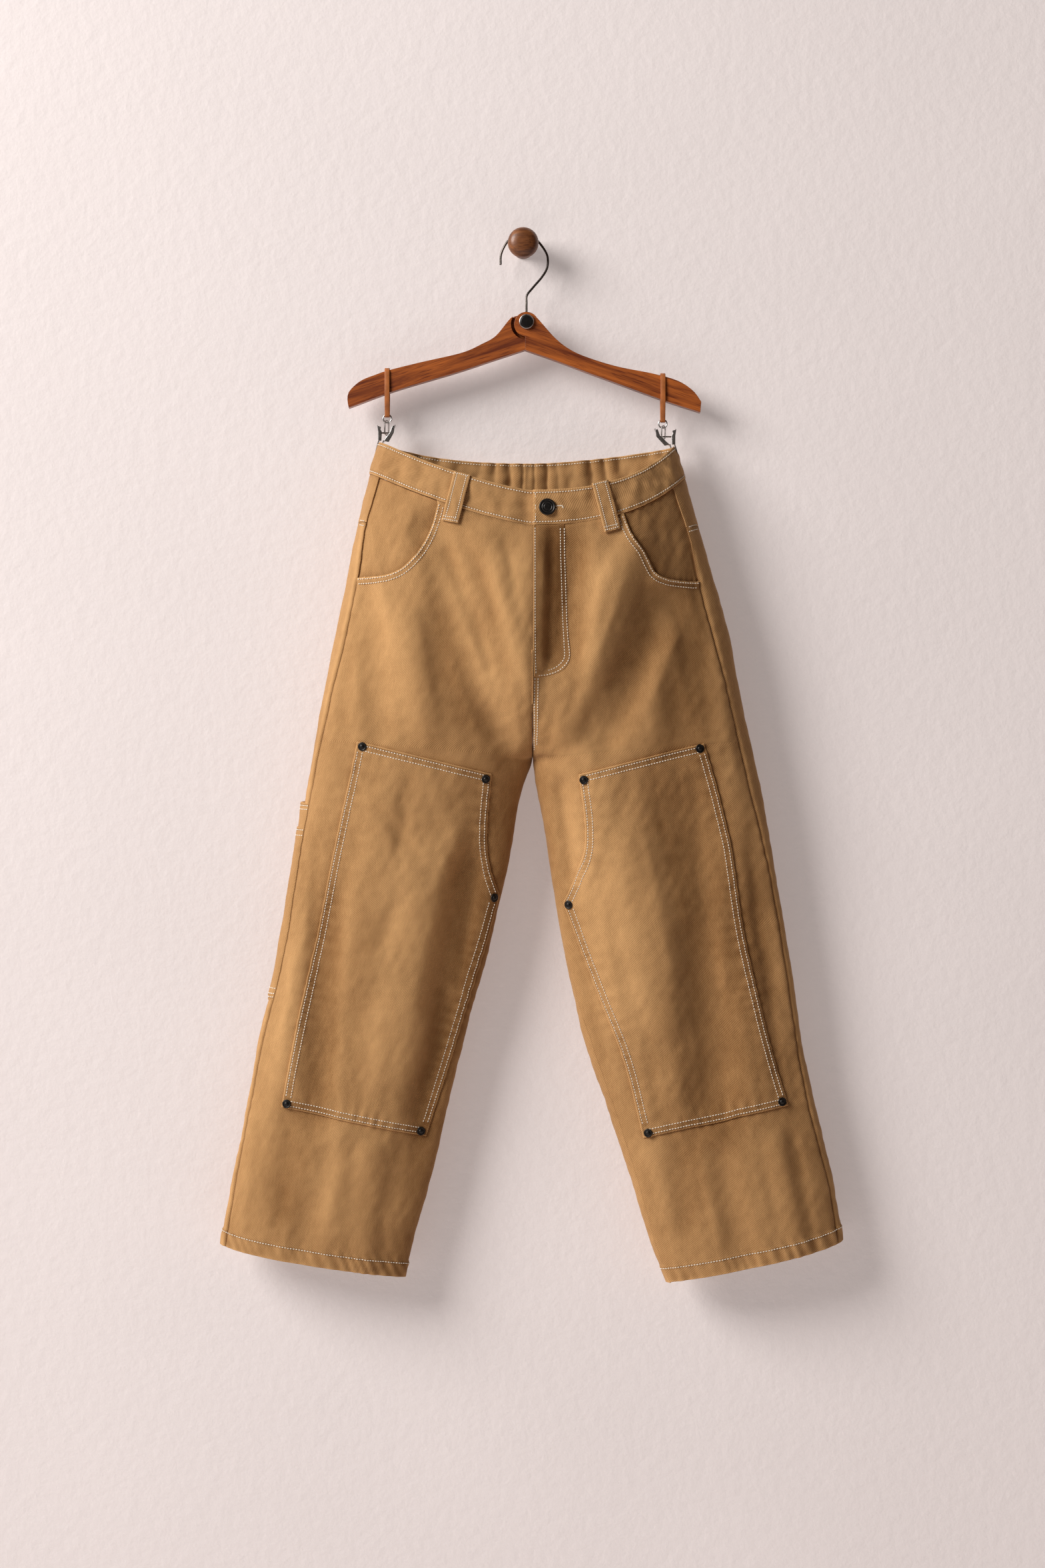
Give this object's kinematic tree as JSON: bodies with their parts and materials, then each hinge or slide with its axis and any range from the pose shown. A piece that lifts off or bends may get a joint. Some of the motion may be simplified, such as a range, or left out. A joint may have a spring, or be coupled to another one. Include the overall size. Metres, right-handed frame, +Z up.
{
  "type": "carpenter pants on clip hanger",
  "caption": "Loose youth carpenter pants in twill with knee patches, hip pockets, tool pockets and gathered back waist, clipped to a wooden hanger on a wall knob",
  "frame": {"origin": "centre of the wall knob's flat back, where it meets the wall", "axes": "+Z up, +X to the right as seen from the front, +Y into the wall, the front of the pants faces -Y"},
  "size_m": [0.6584, 0.1083, 1.1142],
  "materials": {
    "twill": "matt cotton twill, tan, with pale topstitching",
    "lining": "matt cotton twill, tan, slightly darker",
    "gunmetal": "dark satin plating",
    "hanger_wood": "reddish brown varnished hardwood",
    "knob_wood": "dark brown varnished hardwood",
    "bright_steel": "bright plated steel",
    "dark_steel": "darkened steel wire",
    "leather": "orange tan vegetable-tanned strap"
  },
  "bodies": {
    "root": {"front_right": "twill", "front_left": "twill", "back_right": "twill", "back_left": "twill", "yoke_right": "twill", "yoke_left": "twill", "waistband": "twill", "pocket_piece_right": "lining", "pocket_piece_left": "lining", "knee_patch_right": "twill", "knee_patch_left": "twill", "fly_piece": "twill", "belt_loop_front_right": "twill", "belt_loop_front_left": "twill", "belt_loop_back_right": "twill", "belt_loop_back_centre": "twill", "belt_loop_back_left": "twill", "tool_pocket_large": "twill", "tool_pocket_small": "twill", "rivet_right_1": "gunmetal", "rivet_right_2": "gunmetal", "rivet_right_3": "gunmetal", "rivet_right_4": "gunmetal", "rivet_right_5": "gunmetal", "rivet_left_1": "gunmetal", "rivet_left_2": "gunmetal", "rivet_left_3": "gunmetal", "rivet_left_4": "gunmetal", "rivet_left_5": "gunmetal", "waist_button": "gunmetal", "knob": "knob_wood", "hook": "dark_steel", "hanger_arm_right": "hanger_wood", "hanger_arm_left": "hanger_wood", "pivot_ring": "bright_steel", "pivot_cap": "gunmetal", "strap_right": "leather", "ring_right": "bright_steel", "link_right": "bright_steel", "clip_right": "bright_steel", "strap_left": "leather", "ring_left": "bright_steel", "link_left": "bright_steel", "clip_left": "bright_steel"}
  },
  "joints": []
}
